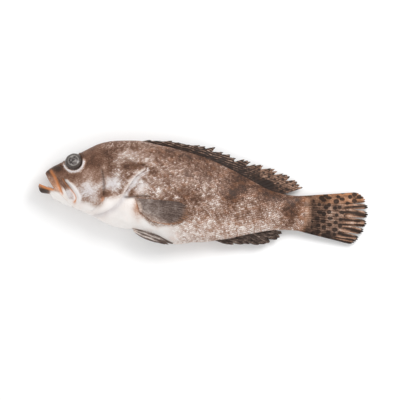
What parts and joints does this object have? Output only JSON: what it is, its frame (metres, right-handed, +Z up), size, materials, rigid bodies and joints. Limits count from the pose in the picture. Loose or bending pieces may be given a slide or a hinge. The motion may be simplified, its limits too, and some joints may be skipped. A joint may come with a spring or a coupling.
{
  "type": "grouper",
  "caption": "Whole raw grouper lying on its right side with its mouth a little open, its back fin folded down and its tail fin fanned out.",
  "frame": {"origin": "on the surface that the fish lies on, under the middle of the whole fish's box", "axes": "+X from the jaws to the tail, +Y from the belly to the back, +Z up, out of the left flank"},
  "size_m": [0.4316, 0.1366, 0.0642],
  "materials": {
    "skin": "satin",
    "jaw_skin": "satin",
    "fin": "satin",
    "eye": "gloss",
    "tongue": "satin"
  },
  "bodies": {
    "root": {"body": "skin", "lower_jaw": "jaw_skin", "tongue": "tongue", "dorsal_fin": "fin", "anal_fin": "fin", "tail_fin": "fin", "left_eye": "eye", "left_maxilla": "jaw_skin", "left_gill_cover": "skin", "left_pectoral_fin": "fin", "left_pelvic_fin": "fin", "right_eye": "eye", "right_maxilla": "jaw_skin", "right_gill_cover": "skin", "right_pectoral_fin": "fin", "right_pelvic_fin": "fin"}
  },
  "joints": []
}
